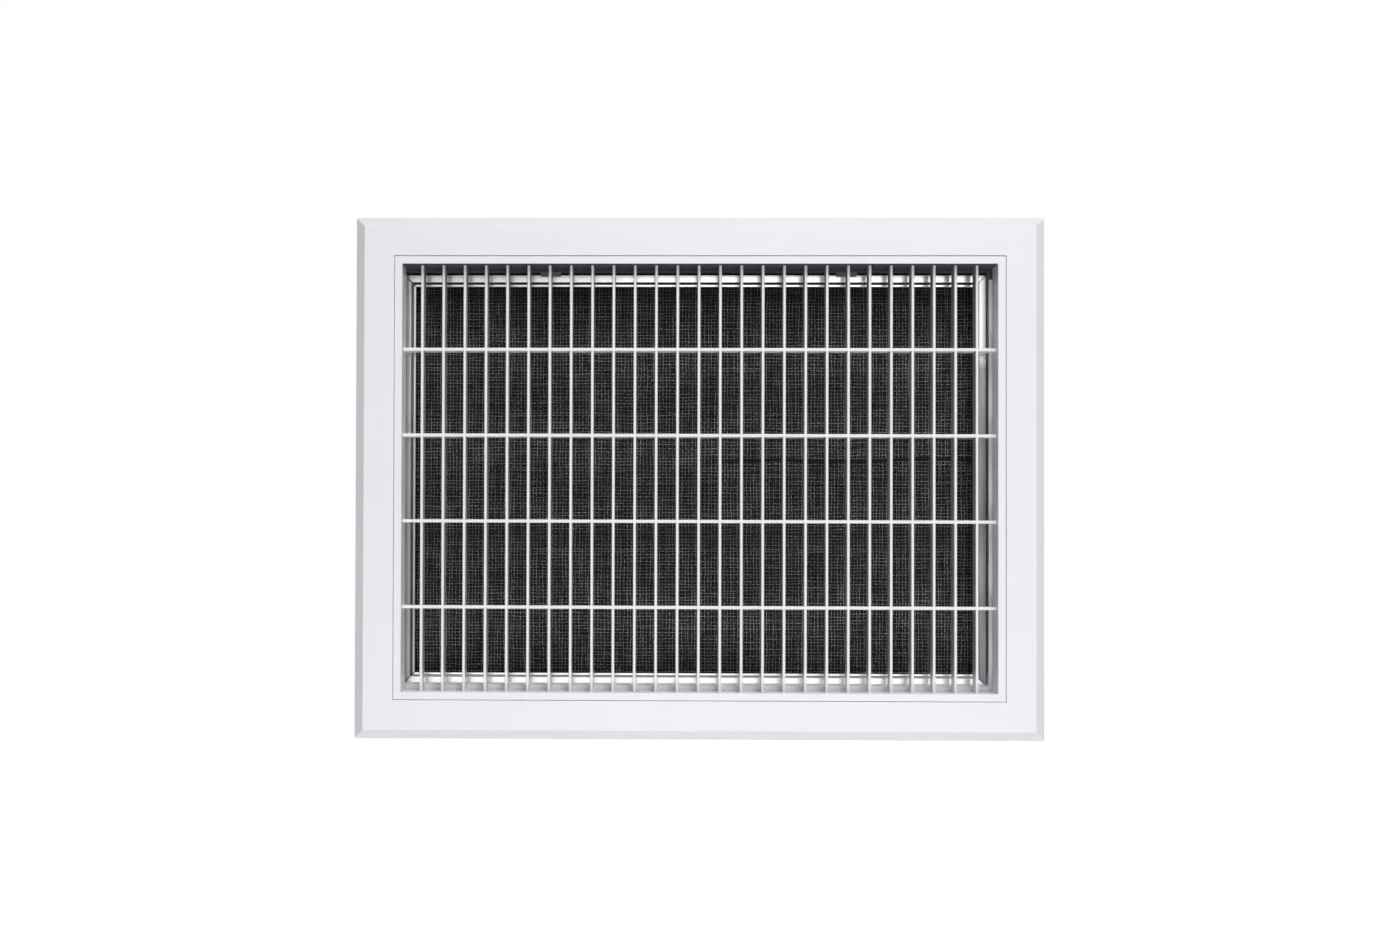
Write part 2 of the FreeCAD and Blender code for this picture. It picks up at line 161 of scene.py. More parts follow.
def noise(tree, place, scale, detail, roughness=0.5):
    """A cloudy pattern that varies around a half."""
    made = put(tree, "ShaderNodeTexNoise", {"Detail": detail, "Roughness": roughness})
    join(tree, place, made.inputs["Vector"])
    feed(tree, scale, made.inputs["Scale"])
    return made.outputs["Fac"]


def random_cells(tree, place, size_mm):
    """A pattern of cells, each with a random number of its own."""
    made = put(tree, "ShaderNodeTexVoronoi")
    join(tree, place, made.inputs["Vector"])
    join(tree, texture_scale(tree, size_mm), made.inputs["Scale"])
    parts = put(tree, "ShaderNodeSeparateColor")
    join(tree, made.outputs["Color"], parts.inputs[0])
    return parts.outputs[0]


def remap(tree, value, low, high, at_low=0.0, at_high=1.0):
    """Maps low..high to at_low..at_high and holds both ends."""
    made = put(tree, "ShaderNodeMapRange", {"From Min": low, "From Max": high,
                                            "To Min": at_low, "To Max": at_high})
    join(tree, value, made.inputs["Value"])
    return made.outputs["Result"]


def finish_group(name, inputs, outputs):
    """Starts a shader node group. Returns its tree, its inputs and its results."""
    tree = bpy.data.node_groups.new(name, "ShaderNodeTree")
    for label, value in inputs.items():
        kind = VECTOR if isinstance(value, tuple) else FLOAT
        made = tree.interface.new_socket(label, in_out="INPUT", socket_type=kind)
        made.default_value = value
    for label in outputs:
        tree.interface.new_socket(label, in_out="OUTPUT", socket_type=FLOAT)
    given = tree.nodes.new("NodeGroupInput").outputs
    results = tree.nodes.new("NodeGroupOutput").inputs
    return tree, given, results

# %% [markdown]
# ## Moulded grain
#
# A moulded plastic face is never a mirror. The steel of the mould was spark-eroded or
# stoned, which leaves a grain of about a quarter of a millimetre, and the plastic
# shrinks a little over thick places, which leaves long shallow waves. The grain could
# be modelled, but it is far too small for that, so it is a height for the Bump node.
# The same group also gives a slow mottle that shifts colour and gloss a little.

# %% Group: moulded grain
def make_moulded_grain():
    """Fine grain over long waves as a height, and the waves alone as a mottle."""
    tree, given, results = finish_group(
        "Moulded Grain",
        {"Grain Size mm": 0.25, "Wave Size mm": 60.0, "Wave Share": 0.5},
        ("Height", "Mottle"))
    place = object_place(tree)
    fine = noise(tree, place, texture_scale(tree, given["Grain Size mm"]),
                 detail=2.0, roughness=0.6)
    wave = noise(tree, place, texture_scale(tree, given["Wave Size mm"]),
                 detail=3.0, roughness=0.55)
    raised = times(tree, wave, given["Wave Share"])
    join(tree, plus(tree, fine, raised), results["Height"])
    join(tree, wave, results["Mottle"])
    return tree


moulded_grain = make_moulded_grain()
print("group:", moulded_grain.name)

# %% [markdown]
# ## House dust
#
# Air is drawn through this grille, so a thin film of dust settles where it can lie: on
# the upper side of bars, on the floor of the neck and along ledges. Dust needs a
# surface that faces up, and it lies in patches. The group multiplies how far the
# surface faces up by a patchy noise, which gives a mask for mixing in a grey-brown
# film.

# %% Group: settled dust
LEVEL_ENOUGH_GAIN = 1.2


def make_settled_dust():
    """A mask for dust that lies in patches on what faces up."""
    tree, given, results = finish_group(
        "Settled Dust", {"Amount": 0.3, "Patch Size mm": 9.0}, ("Mask",))
    facing_up = times(tree, surface_turn(tree)["Z"], LEVEL_ENOUGH_GAIN, clamp=True)
    scale = texture_scale(tree, given["Patch Size mm"])
    cloudy = noise(tree, object_place(tree), scale, detail=5.0, roughness=0.7)
    lying = times(tree, facing_up, remap(tree, cloudy, low=0.35, high=0.7))
    join(tree, times(tree, lying, given["Amount"], clamp=True), results["Mask"])
    return tree


settled_dust = make_settled_dust()
print("group:", settled_dust.name)

# %% [markdown]
# ## Painted shade in the tunnel
#
# A grey film of painted shade darkens the plastic where shade falls inside the tunnel.
# It is thickest under the roof of the tunnel, both on what faces down and, deeper in,
# on what faces the room, such as the two snap tongues. A thinner painted shade lies on
# the sides of the fins and fades out in the lowest part, where the bright floor of the
# tunnel lights them.
# The outer walls of the tunnel and all fronts stay white. Each part of the mask is a
# product of how a surface is turned and of where it lies.

# %% Group: painted shade film
# How fast the painted shade on the fins' sides fades in above the lit bottom of the
# tunnel.
LIT_BOTTOM_FADE_PER_MM = 0.15


def make_painted_shade_film():
    """A mask for painted shade under the tunnel's roof and on the sides of the fins."""
    tree, given, results = finish_group(
        "Painted Shade Film",
        {"Roof": 0.9, "Sides": 0.6, "From Height mm": 118.0, "Depth mm": -7.5,
         "Deep From mm": 6.0, "Lit Below mm": -118.0, "Fins Within mm": 172.0},
        ("Mask",))
    turn = surface_turn(tree)
    place = axes(tree, object_place(tree))

    def beyond(value, limit, per_mm=1.0):
        over = minus(tree, times(tree, value, MM_PER_METRE), limit)
        return times(tree, over, per_mm, clamp=True)

    # Painted shade under the roof: on what faces down and, deeper in, on what faces the
    # room.
    down = times(tree, turn["Z"], -1.0, clamp=True)
    forward = times(tree, turn["Y"], -1.0, clamp=True)
    deep = times(tree, forward, beyond(place["Y"], given["Deep From mm"]))
    behind_lip = beyond(place["Y"], given["Depth mm"])
    high = times(tree, beyond(place["Z"], given["From Height mm"]), behind_lip)
    swept = math_node(tree, "MAXIMUM", down, deep)
    roof = times(tree, times(tree, swept, given["Roof"]), high)

    # Painted shade on the sides of the fins.
    sideways = math_node(tree, "ABSOLUTE", turn["X"])
    off_middle = math_node(tree, "ABSOLUTE", place["X"])
    on_fins = minus(tree, 1.0, beyond(off_middle, given["Fins Within mm"]))
    # It fades out at the bottom, where the bright floor of the tunnel lights the sides
    # of the fins.
    above_lit_bottom = beyond(place["Z"], given["Lit Below mm"], LIT_BOTTOM_FADE_PER_MM)
    sides = times(tree, times(tree, times(tree, sideways, on_fins),
                              times(tree, above_lit_bottom, behind_lip)), given["Sides"])
    join(tree, math_node(tree, "MAXIMUM", roof, sides), results["Mask"])
    return tree


painted_shade_film = make_painted_shade_film()
print("group:", painted_shade_film.name)

# %% [markdown]
# ## Rolled and galvanised sheet
#
# The filter's rails are cut from coil. Rolling draws fine lines along the strip, and
# the zinc bath leaves crystals, called spangle, each of which turns the light its own
# way. The crystals are a pattern of cells: every cell gets one random value for its
# brightness. On modern sheet they are small and faint, so they only tint the metal.
# Tarnish, the grey film that zinc grows in moist air, is a soft patchy noise, drawn out
# along the strip in the same way as the rolling lines.

# %% Group: galvanised sheet
LINE_SCALE = 1100.0
TARNISH_SCALE = 130.0


def make_galvanised_group():
    """Crystals, patches of tarnish and rolling lines, each as one number."""
    tree, given, results = finish_group(
        "Galvanised Sheet",
        {"Spangle Size mm": 3.0, "Line Stretch": (1.0, 1.0, 1.0)},
        ("Spangle", "Tarnish", "Lines"))
    place = object_place(tree)
    stretched = put(tree, "ShaderNodeVectorMath", operation="MULTIPLY")
    join(tree, place, stretched.inputs[0])
    join(tree, given["Line Stretch"], stretched.inputs[1])
    drawn_out = stretched.outputs[0]
    patches = noise(tree, drawn_out, TARNISH_SCALE, detail=4.0)
    join(tree, random_cells(tree, place, given["Spangle Size mm"]), results["Spangle"])
    join(tree, remap(tree, patches, low=0.40, high=0.70), results["Tarnish"])
    join(tree, noise(tree, drawn_out, LINE_SCALE, detail=2.0), results["Lines"])
    return tree


galvanised_group = make_galvanised_group()
print("group:", galvanised_group.name)

# %% [markdown]
# ## Helpers for materials
#
# A material starts as one shader. These helpers make it, place a group in it, mix
# colours and numbers by a mask, and feed a height to the shader's normal.

# %% Helpers for materials
def new_material(name):
    """A material with one shader. Returns the material, its tree and its shader."""
    material = bpy.data.materials.new(name)
    material.use_nodes = True
    tree = material.node_tree
    return material, tree, tree.nodes["Principled BSDF"]


def place_group(tree, group, **values):
    """Places a node group, with its inputs' values by name. Returns its outputs."""
    made = tree.nodes.new("ShaderNodeGroup")
    made.node_tree = group
    for label, value in values.items():
        made.inputs[label.replace("_", " ")].default_value = value
    return made.outputs


def mix_colour(tree, mask, below, above):
    """Mixes two colours, each a tuple or a socket, by a mask. Returns the colour."""
    made = put(tree, "ShaderNodeMix", data_type="RGBA")
    join(tree, mask, made.inputs["Factor"])
    colours = [socket for socket in made.inputs if socket.type == "RGBA"]
    feed(tree, below, colours[0])
    feed(tree, above, colours[1])
    return next(socket for socket in made.outputs if socket.type == "RGBA")


def mix_number(tree, mask, low, high):
    """Maps a mask from 0..1 to low..high. Returns the number."""
    return remap(tree, mask, 0.0, 1.0, low, high)


def add_bump(tree, shader, height, depth_mm, strength):
    """Feeds a height to the shader's normal."""
    bump = put(tree, "ShaderNodeBump",
               {"Strength": strength, "Distance": depth_mm * MM})
    join(tree, height, bump.inputs["Height"])
    join(tree, bump.outputs["Normal"], shader.inputs["Normal"])

# %% [markdown]
# ## White plastic
#
# The surround and the core are moulded from the same cool white plastic with a satin
# face. Under soft light its colour is nearly all that shows, so the colour is set with
# care, and grain, waves and dust only disturb it. A grey film of painted shade and the
# dust go over it, and both take its gloss away. The two mouldings come from different
# tools, so the core gets a slightly finer grain than the surround.

# %% White plastic
PLASTIC_DEEP = (0.815, 0.808, 0.845, 1.0)
PLASTIC_PALE = (0.850, 0.843, 0.882, 1.0)
DUST = (0.42, 0.39, 0.36, 1.0)
# Painted shade: the grey film that darkens the plastic where shade falls in the tunnel,
# and how much it dulls the gloss.
SHADE_FILM_COLOUR = (0.050, 0.045, 0.052, 1.0)
SHADE_FILM_DULLS = 0.55
PLASTIC_SWING = (-0.04, 0.06)
PLASTIC_IOR = 1.5


def white_plastic(name, grain_mm, roughness):
    """The satin white plastic of both mouldings."""
    material, tree, shader = new_material(name)
    grain = place_group(tree, moulded_grain, Grain_Size_mm=grain_mm, Wave_Size_mm=70.0)
    shade_film = place_group(tree, painted_shade_film, Roof=0.98, Sides=0.66)["Mask"]
    dust = place_group(tree, settled_dust, Amount=0.05, Patch_Size_mm=8.0)["Mask"]
    clean = mix_colour(tree, grain["Mottle"], PLASTIC_DEEP, PLASTIC_PALE)
    # Painted shade goes over the clean colour, then the dust.
    with_shade_film = mix_colour(tree, shade_film, clean, SHADE_FILM_COLOUR)
    join(tree, mix_colour(tree, dust, with_shade_film, DUST), shader.inputs["Base Color"])
    satin = mix_number(tree, grain["Mottle"],
                       *(roughness + swing for swing in PLASTIC_SWING))
    dulled_by_dust_and_shade = plus(tree, dust, times(tree, shade_film, SHADE_FILM_DULLS))
    join(tree, plus(tree, satin, dulled_by_dust_and_shade), shader.inputs["Roughness"])
    shader.inputs["IOR"].default_value = PLASTIC_IOR
    add_bump(tree, shader, grain["Height"], depth_mm=0.05, strength=0.25)
    return material


surround_plastic = white_plastic("surround_plastic", grain_mm=0.30, roughness=0.34)
core_plastic = white_plastic("core_plastic", grain_mm=0.22, roughness=0.38)
print("materials:", surround_plastic.name, core_plastic.name)

# %% [markdown]
# ## Galvanised rails
#
# The rails mirror the white fins in front of them, blurred, so their roughness is low.
# Sheet that was folded keeps its rolling lines along its length: along X in the level
# rails and along Z in the upright ones. The groove beside the hem is darkened all round
# with painted shade. It lies at the same distance from the middle in opposite rails, so
# one mask that counts from the middle finds both.

# %% Galvanised sheet with painted shade in its groove
ZINC_DIM = (0.86, 0.85, 0.82, 1.0)
ZINC_BRIGHT = (0.94, 0.93, 0.90, 1.0)
ZINC_ROLLED = (0.78, 0.77, 0.75, 1.0)
TARNISH_AND_SHADE_GREY = (0.13, 0.128, 0.135, 1.0)
# Painted shade for the groove beside the hem, and how it dulls the metal there.
GROOVE_SHADE = (0.02, 0.019, 0.018, 1.0)
PATCHY_SHARE = 0.45
BRIGHT_ROUGHNESS, DULL_ROUGHNESS = 0.20, 0.46
BARE_METALLIC, GROOVE_SHADE_METALLIC = 0.8, 0.2
GROOVE_SHADE_DULLS = 0.4
GROOVE_HALF_WIDTH = 0.55 * MM
GROOVE_SOFT_EDGE = 0.35 * MM


def groove_mask(tree, across, middle, reach):
    """A mask for the two grooves at the same reach on both sides of a middle."""
    place = axes(tree, object_place(tree))[across]
    off = distance_from(tree, distance_from(tree, place, middle), reach)
    return remap(tree, off, GROOVE_HALF_WIDTH, GROOVE_HALF_WIDTH + GROOVE_SOFT_EDGE,
                 at_low=1.0, at_high=0.0)


def galvanised(name, direction, groove_shade, tarnish_and_shade, lit_above=0.0, shaded_below=-0.1):
    """Zinc with lines along the rail and painted shade in its groove. Its tarnish, with
    a painted dimming of the reflection on the upright rails, goes from one value to
    another.
    """
    material, tree, shader = new_material(name)
    zinc = place_group(tree, galvanised_group, Spangle_Size_mm=2.6,
                       Line_Stretch=direction["stretch"])
    crystal = mix_colour(tree, zinc["Spangle"], ZINC_DIM, ZINC_BRIGHT)
    lined = mix_colour(tree, zinc["Lines"], ZINC_ROLLED, crystal)
    height = axes(tree, object_place(tree))["Z"]
    patchy = plus(tree, times(tree, zinc["Tarnish"], PATCHY_SHARE), 1.0 - PATCHY_SHARE)
    # On the upright rails the height gradient is a painted dimming of the reflection
    # lower down; the patches are tarnish.
    tarnish_and_shade_mask = times(
        tree, remap(tree, height, lit_above, shaded_below, *tarnish_and_shade), patchy)
    # Painted shade in the groove beside the hem, deeper on some rails than on others.
    in_groove = groove_mask(
        tree, direction["across"], direction["middle"], direction["reach"])
    groove_shaded = times(tree, in_groove, groove_shade)
    greyed = mix_colour(tree, tarnish_and_shade_mask, lined, TARNISH_AND_SHADE_GREY)
    join(tree, mix_colour(tree, groove_shaded, greyed, GROOVE_SHADE), shader.inputs["Base Color"])
    roughness = mix_number(tree, tarnish_and_shade_mask, BRIGHT_ROUGHNESS, DULL_ROUGHNESS)
    join(tree, plus(tree, roughness, times(tree, groove_shaded, GROOVE_SHADE_DULLS)),
         shader.inputs["Roughness"])
    join(tree, mix_number(tree, groove_shaded, BARE_METALLIC, GROOVE_SHADE_METALLIC),
         shader.inputs["Metallic"])
    add_bump(tree, shader, zinc["Lines"], depth_mm=0.03, strength=0.3)
    return material

# %% [markdown]
# Each rail has its own tarnish and its own depth of painted shade in its groove. The
# level ones are even from end to end. The upright ones are bright near their upper ends
# and darker and duller further down, which is a painted dimming of their reflection:
# their tarnish has two values, above one height and below another, in metres from the
# middle.
# The groove's place is taken from the rails themselves.

# %% Finishes of the four rails
GROOVE_FROM_INNER_EDGE = 2.35 * MM

left_low, left_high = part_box("filter_rail_left")
right_low, right_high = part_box("filter_rail_right")
rail_width = right_high[0] - right_low[0]
side_middle = (left_low[0] + right_high[0]) / 2
side_groove = right_high[0] - side_middle - rail_width + GROOVE_FROM_INNER_EDGE
level_groove = left_high[2] - rail_width + GROOVE_FROM_INNER_EDGE

LEVEL = {"stretch": (0.05, 1.0, 1.0), "across": "Z", "middle": 0.0,
         "reach": level_groove}
UPRIGHT = {"stretch": (1.0, 1.0, 0.05), "across": "X", "middle": side_middle,
           "reach": side_groove}
RAIL_WEAR_AND_SHADE = {
    "top": {"direction": LEVEL, "groove_shade": 1.0, "tarnish_and_shade": (0.0, 0.0)},
    "bottom": {"direction": LEVEL, "groove_shade": 0.45, "tarnish_and_shade": (0.14, 0.14)},
    # The upright rails are darker lower down: a painted dimming of their reflection.
    "left": {"direction": UPRIGHT, "groove_shade": 0.75, "tarnish_and_shade": (0.05, 0.80),
             "lit_above": 0.08, "shaded_below": -0.05},
    "right": {"direction": UPRIGHT, "groove_shade": 0.6, "tarnish_and_shade": (0.05, 1.0),
              "lit_above": 0.074, "shaded_below": 0.066},
}
sheets = {side: galvanised("galvanised_" + side, **wear_and_shade)
          for side, wear_and_shade in RAIL_WEAR_AND_SHADE.items()}
print("rails:", ", ".join(sheets), "with grooves %.1f and %.1f mm from the middle"
      % (level_groove / MM, side_groove / MM))

# %% [markdown]
# ## Small metal pieces
#
# The wire that holds the net, the rivets and the hinge pins are all grey metal, and
# they are told apart by colour and gloss. Such pieces are drawn or headed, which leaves
# fine scratches, so they share one finish with the moulded grain at a much smaller
# size.

# %% Drawn metal
METAL_SWING = (-0.08, 0.12)
SCRATCH_SHARE = 0.8


def drawn_metal(name, colour, roughness):
    """Plain metal that was drawn or headed: fine scratches and an uneven gloss."""
    material, tree, shader = new_material(name)
    grain = place_group(tree, moulded_grain, Grain_Size_mm=0.15, Wave_Size_mm=6.0)
    darker = tuple(SCRATCH_SHARE * part for part in colour[:3]) + (1.0,)
    join(tree, mix_colour(tree, grain["Mottle"], darker, colour),
         shader.inputs["Base Color"])
    uneven = mix_number(tree, grain["Mottle"],
                        *(roughness + swing for swing in METAL_SWING))
    join(tree, uneven, shader.inputs["Roughness"])
    shader.inputs["Metallic"].default_value = 1.0
    add_bump(tree, shader, grain["Height"], depth_mm=0.02, strength=0.4)
    return material


pin_steel = drawn_metal("pin_steel", (0.56, 0.56, 0.58, 1.0), roughness=0.28)
wire_metal = drawn_metal("wire_metal", (0.50, 0.51, 0.52, 1.0), roughness=0.42)
rivet_metal = drawn_metal("rivet_metal", (0.68, 0.68, 0.69, 1.0), roughness=0.36)
print("metals:", pin_steel.name, wire_metal.name, rivet_metal.name)

# %% [markdown]
# ## Dressing the solid pieces
#
# These pieces keep their own meshes. Each one only swaps the material in its slot.

# %% Dress the solid pieces
FINISHES = {
    "surround": surround_plastic,
    "core": core_plastic,
    "hinge_pin_left": pin_steel,
    "hinge_pin_right": pin_steel,
    "filter_rail_top": sheets["top"],
    "filter_rail_bottom": sheets["bottom"],
    "filter_rail_left": sheets["left"],
    "filter_rail_right": sheets["right"],
    "corner_rivets": rivet_metal,
    "net_wire": wire_metal,
}
for node_name, finish in FINISHES.items():
    for slot in nodes[node_name].material_slots:
        slot.material = finish
print("dressed", len(FINISHES), "nodes")

# %% [markdown]
# ## The woven net
#
# The filter's medium is a plain weave of dark plastic thread, about two millimetres
# from thread to thread. Each upright thread passes in front of one level thread and
# behind the next. Such a net could be painted with a texture, but real threads give the
# dark holes, the glints and the slight waviness for free, and they hold up from close
# by.
#
# One Geometry Nodes tree makes a set of parallel threads, and is used twice, for the
# upright and for the level ones. It starts with a row of points, one straight curve at
# each, resampled so that there is one point for each crossing.

# %% Straight threads
def vector_of(tree, **parts):
    """A vector from one output per axis, and 0 along the other axes."""
    made = put(tree, "ShaderNodeCombineXYZ")
    for axis, part in parts.items():
        join(tree, part, made.inputs[axis])
    return made.outputs[0]


def straight_threads(tree, given, width, height):
    """Threads along Z in a row along X, with a point at each crossing."""
    row = put(tree, "GeometryNodeMeshLine", mode="OFFSET")
    join(tree, given["Threads"], row.inputs["Count"])
    first = vector_of(tree, X=times(tree, width, -0.5))
    join(tree, first, row.inputs["Start Location"])
    join(tree, vector_of(tree, X=given["Thread Pitch"]), row.inputs["Offset"])
    line = put(tree, "GeometryNodeCurvePrimitiveLine")
    for end, share in (("Start", -0.5), ("End", 0.5)):
        join(tree, vector_of(tree, Z=times(tree, height, share)), line.inputs[end])
    sampled = put(tree, "GeometryNodeResampleCurve")
    join(tree, line.outputs[0], sampled.inputs["Curve"])
    join(tree, given["Crossings"], sampled.inputs["Count"])
    copies = put(tree, "GeometryNodeInstanceOnPoints")
    join(tree, row.outputs["Mesh"], copies.inputs["Points"])
    join(tree, sampled.outputs[0], copies.inputs["Instance"])
    loose = put(tree, "GeometryNodeRealizeInstances")
    join(tree, copies.outputs[0], loose.inputs[0])
    return loose.outputs[0]

# %% [markdown]
# Then each point moves. Which way it goes, forwards or backwards, follows from counting
# threads and crossings: where their sum is odd the point goes one way, and where it is
# even the other. Sideways, real threads drift. A slow noise moves neighbours together,
# a second one moves each thread by itself, and one random step per thread makes the
# gaps uneven.

# %% How the points of a thread move
SHARED_DRIFT = {"scale": 38.0, "share": 4.0, "stretch": (1.0, 1.0, 1.0)}
OWN_DRIFT = {"scale": 70.0, "share": 4.5, "stretch": (9.0, 1.0, 1.0)}


def nearest_count(tree, place, extent, pitch):
    """Which thread or crossing a point belongs to, counted from the edge of the set."""
    from_edge = plus(tree, place, times(tree, extent, 0.5))
    return math_node(tree, "ROUND", math_node(tree, "DIVIDE", from_edge, pitch))


def weave_shift(tree, given, width, height):
    """How far each point moves, sideways along X and front to back along Y."""
    place = put(tree, "GeometryNodeInputPosition").outputs[0]
    parts = axes(tree, place)
    column = nearest_count(tree, parts["X"], width, given["Thread Pitch"])
    crossing = nearest_count(tree, parts["Z"], height, given["Crossing Pitch"])
    counted = plus(tree, plus(tree, column, crossing), given["First Side"])
    odd = math_node(tree, "FLOORED_MODULO", counted, 2.0)
    side = minus(tree, times(tree, odd, 2.0), 1.0)

    def drift(scale, share, stretch):
        scaled = put(tree, "ShaderNodeVectorMath", operation="MULTIPLY")
        join(tree, place, scaled.inputs[0])
        scaled.inputs[1].default_value = stretch
        cloudy = put(tree, "ShaderNodeTexNoise", {"Scale": scale, "Detail": 2.0},
                     noise_dimensions="4D")
        join(tree, scaled.outputs[0], cloudy.inputs["Vector"])
        join(tree, given["Seed"], cloudy.inputs["W"])
        centred = minus(tree, cloudy.outputs["Fac"], 0.5)
        return times(tree, times(tree, centred, share), given["Drift"])

    step = put(tree, "ShaderNodeTexWhiteNoise", noise_dimensions="2D")
    join(tree, vector_of(tree, X=column, Y=given["Seed"]), step.inputs["Vector"])
    uneven = times(tree, minus(tree, step.outputs["Value"], 0.5), given["Drift"])
    drifting = plus(tree, drift(**SHARED_DRIFT), drift(**OWN_DRIFT))
    return vector_of(tree, X=plus(tree, drifting, uneven),
                     Y=times(tree, side, given["Weave Depth"]))

# %% [markdown]
# Last, a small diamond is swept along each moved curve and gets the thread's material.
# A diamond has few faces, which matters for hundreds of threads, and smooth shading
# makes it look round.

# %% Weave tree
def swept_threads(tree, given, curves):
    """Sweeps a diamond along the curves and gives the result its material."""
    diamond = put(tree, "GeometryNodeCurvePrimitiveCircle", {"Resolution": 4})
    join(tree, given["Thread Radius"], diamond.inputs["Radius"])
    swept = put(tree, "GeometryNodeCurveToMesh", {"Fill Caps": True})
    join(tree, curves, swept.inputs["Curve"])
    join(tree, diamond.outputs[0], swept.inputs["Profile Curve"])
    smooth = put(tree, "GeometryNodeSetShadeSmooth")
    join(tree, swept.outputs[0], smooth.inputs["Geometry"])
    real = put(tree, "GeometryNodeRealizeInstances")
    join(tree, smooth.outputs[0], real.inputs[0])
    painted = put(tree, "GeometryNodeSetMaterial")
    join(tree, real.outputs[0], painted.inputs["Geometry"])
    join(tree, given["Material"], painted.inputs["Material"])
    return painted.outputs[0]


def weave_tree():
    """Parallel threads along Z that step front and back at each crossing."""
    tree = bpy.data.node_groups.new("Woven Threads", "GeometryNodeTree")
    tree.interface.new_socket("Geometry", in_out="OUTPUT",
                              socket_type="NodeSocketGeometry")
    for label, kind in (
            ("Threads", "NodeSocketInt"), ("Crossings", "NodeSocketInt"),
            ("Thread Pitch", FLOAT), ("Crossing Pitch", FLOAT),
            ("Thread Radius", FLOAT), ("Weave Depth", FLOAT),
            ("First Side", "NodeSocketInt"), ("Drift", FLOAT),
            ("Seed", FLOAT), ("Material", "NodeSocketMaterial")):
        tree.interface.new_socket(label, in_out="INPUT", socket_type=kind)
    given = tree.nodes.new("NodeGroupInput").outputs
    result = tree.nodes.new("NodeGroupOutput").inputs[0]

    width = times(tree, minus(tree, given["Threads"], 1.0), given["Thread Pitch"])
    height = times(tree, minus(tree, given["Crossings"], 1.0), given["Crossing Pitch"])
    moved = put(tree, "GeometryNodeSetPosition")
    join(tree, straight_threads(tree, given, width, height), moved.inputs["Geometry"])
    join(tree, weave_shift(tree, given, width, height), moved.inputs["Offset"])
    join(tree, swept_threads(tree, given, moved.outputs[0]), result)
    return tree


woven_threads = weave_tree()
print("tree:", woven_threads.name, "with", len(woven_threads.nodes), "nodes")

# %% [markdown]
# ## From a tree to a plain mesh
#
# A modifier's input is set by its socket's identifier, so the helper looks each one up
# by its label. The evaluated result becomes a plain mesh, turned and moved into its
# place, and the object with the modifier is thrown away. A swept mesh can come out with
# its faces turned inwards, and a second helper puts that right.

# %% Grow a mesh from a tree
def grow(name, tree, values, place):
    """Runs a Geometry Nodes tree. Returns a new object with the result as its mesh."""
    carrier = bpy.data.objects.new(name + "_carrier",
                                   bpy.data.meshes.new(name + "_carrier"))
    scene.collection.objects.link(carrier)
    modifier = carrier.modifiers.new("grow", "NODES")
    modifier.node_group = tree
    identifiers = {item.name: item.identifier for item in tree.interface.items_tree
                   if item.item_type == "SOCKET" and item.in_out == "INPUT"}
    for label, value in values.items():
        modifier[identifiers[label]] = value
    graph = bpy.context.evaluated_depsgraph_get()
    evaluated = carrier.evaluated_get(graph)
    mesh = bpy.data.meshes.new_from_object(evaluated, depsgraph=graph)
    mesh.name = name
    mesh.transform(place)
    bpy.data.objects.remove(carrier)
    made = bpy.data.objects.new(name, mesh)
    scene.collection.objects.link(made)
    return made


def closed_sides_out(mesh):
    """Makes every face of a closed mesh point outwards."""
    work = bmesh.new()
    work.from_mesh(mesh)
    bmesh.ops.recalc_face_normals(work, faces=work.faces)
    work.to_mesh(mesh)
    work.free()

# %% [markdown]
# ## Painted shade and lint on the net
#
# The net was folded once and the fold has left a crease across its right half, darkened
# with painted shade. Below it runs a soft band of painted shadow from a crossbar, the
# strip along the upper rail is darkest of all with the painted shadow of the rail, and
# here and there light specks of lint hang in the threads. The group below finds these
# by place: a band is a range of heights, made to sway by a slow noise, and a speck is a
# cell of a fine pattern, picked at random within cloudy patches.

# %% Group: painted shade and lint on the net
SWAY_SCALE = 16.0
SWAY_MM = 9.0
CREASE_START_MM = 12.0
BAR_SHADOW_SHARE = 0.5
RAIL_SHADOW_FADE_MM, RAIL_SHADOW_SHARE = 7.0, 0.65
LINT_PATCH_SCALE = 22.0


